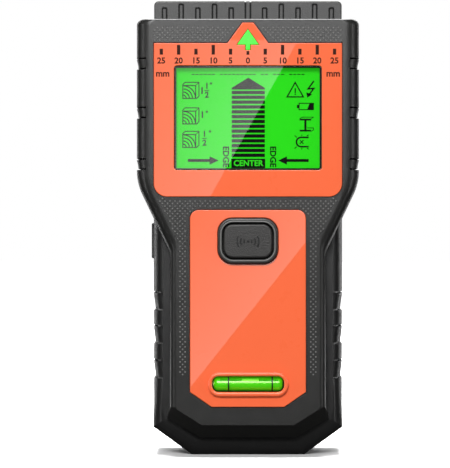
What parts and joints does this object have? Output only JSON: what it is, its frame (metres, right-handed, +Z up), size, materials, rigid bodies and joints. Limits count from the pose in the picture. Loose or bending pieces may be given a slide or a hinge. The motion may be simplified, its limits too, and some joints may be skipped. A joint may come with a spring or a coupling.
{
  "type": "stud finder",
  "caption": "Handheld stud finder with green display, orange panels, a spirit level, a notched ruler edge, two buttons and a rear battery door.",
  "frame": {"origin": "centre of the bounding box at the foot it stands on", "axes": "+Z up along the handle towards the head, +X to the right seen from the front, -Y out of the display"},
  "size_m": [0.0646, 0.0288, 0.1342],
  "materials": {
    "shell_black": "satin",
    "rear_black": "satin",
    "orange_gloss": "gloss",
    "clear_window": "gloss",
    "lamp_green": "gloss",
    "frame_black": "satin",
    "lcd_green": "gloss",
    "light_guide": "satin",
    "contact_rubber": "matte",
    "board_green": "satin",
    "part_black": "satin",
    "capacitor_blue": "satin",
    "led_clear": "gloss",
    "copper": "satin",
    "button_black": "matte",
    "side_button_black": "matte",
    "plunger_ivory": "satin",
    "vial_clear": "gloss",
    "vial_green": "gloss",
    "bubble": "gloss",
    "battery_wrap": "satin",
    "nickel": "satin",
    "connector_black": "matte",
    "lead_red": "satin",
    "lead_black": "satin",
    "foam_grey": "matte",
    "screw_steel": "satin",
    "felt": "matte"
  },
  "bodies": {
    "housing": {"front_shell": "shell_black", "rear_shell": "rear_black", "display_panel": "orange_gloss", "control_panel": "orange_gloss", "display_window": "clear_window", "centre_lamp_window": "lamp_green", "lcd_frame": "frame_black", "lcd_glass": "lcd_green", "backlight_panel": "light_guide", "zebra_strip_top": "contact_rubber", "zebra_strip_bottom": "contact_rubber", "main_board": "board_green", "sensor_board": "board_green", "controller_chip": "part_black", "buzzer": "part_black", "capacitor_left": "capacitor_blue", "capacitor_right": "capacitor_blue", "centre_led": "led_clear", "sensor_plate_left": "copper", "sensor_plate_centre": "copper", "sensor_plate_right": "copper", "search_coil": "copper", "board_header": "part_black", "mode_switch_body": "part_black", "side_switch_body": "part_black", "vial_tube": "vial_clear", "vial_plug": "vial_clear", "vial_fluid": "vial_green", "vial_ring_left": "frame_black", "vial_ring_right": "frame_black", "battery": "battery_wrap", "battery_terminal_positive": "nickel", "battery_terminal_negative": "nickel", "snap_contact_positive": "nickel", "snap_contact_negative": "nickel", "snap_connector": "connector_black", "battery_lead_red": "lead_red", "battery_lead_black": "lead_black", "housing_screw_upper_left": "screw_steel", "felt_pad_upper_left": "felt", "housing_screw_upper_right": "screw_steel", "felt_pad_upper_right": "felt", "housing_screw_lower_left": "screw_steel", "felt_pad_lower_left": "felt", "housing_screw_lower_right": "screw_steel", "felt_pad_lower_right": "felt", "board_screw_left": "screw_steel", "board_screw_right": "screw_steel", "board_screw_lower": "screw_steel"},
    "mode_button": {"mode_button": "button_black"},
    "mode_plunger": {"mode_switch_plunger": "plunger_ivory"},
    "side_button": {"side_button": "side_button_black"},
    "side_plunger": {"side_switch_plunger": "plunger_ivory"},
    "battery_door": {"battery_door": "rear_black", "door_foam_pad": "foam_grey"},
    "level_bubble": {"vial_bubble": "bubble"}
  },
  "joints": [
    {"name": "mode_button_press", "type": "slide", "parent": "housing", "child": "mode_button", "axis": [0, 1, 0], "range_m": [0, 0.0005], "stiffness_N_per_m": 1000},
    {"name": "mode_switch_travel", "type": "slide", "parent": "housing", "child": "mode_plunger", "axis": [0, 1, 0], "range_m": [0, 0.0005]},
    {"name": "side_button_press", "type": "slide", "parent": "housing", "child": "side_button", "axis": [1, 0, 0], "range_m": [0, 0.0005], "stiffness_N_per_m": 1000},
    {"name": "side_switch_travel", "type": "slide", "parent": "housing", "child": "side_plunger", "axis": [1, 0, 0], "range_m": [0, 0.0005]},
    {"name": "battery_door_hinge", "type": "hinge", "parent": "housing", "child": "battery_door", "pos_m": [0, 0.012, 0.0052], "axis": [-1, 0, 0], "range_deg": [0, 90]},
    {"name": "level_bubble_slide", "type": "slide", "parent": "housing", "child": "level_bubble", "axis": [1, 0, 0], "range_m": [-0.0055, 0.0055], "stiffness_N_per_m": 0.05}
  ],
  "couplings": [
    {"joint": "mode_switch_travel", "follows": "mode_button_press", "ratio": 1},
    {"joint": "side_switch_travel", "follows": "side_button_press", "ratio": 1}
  ]
}
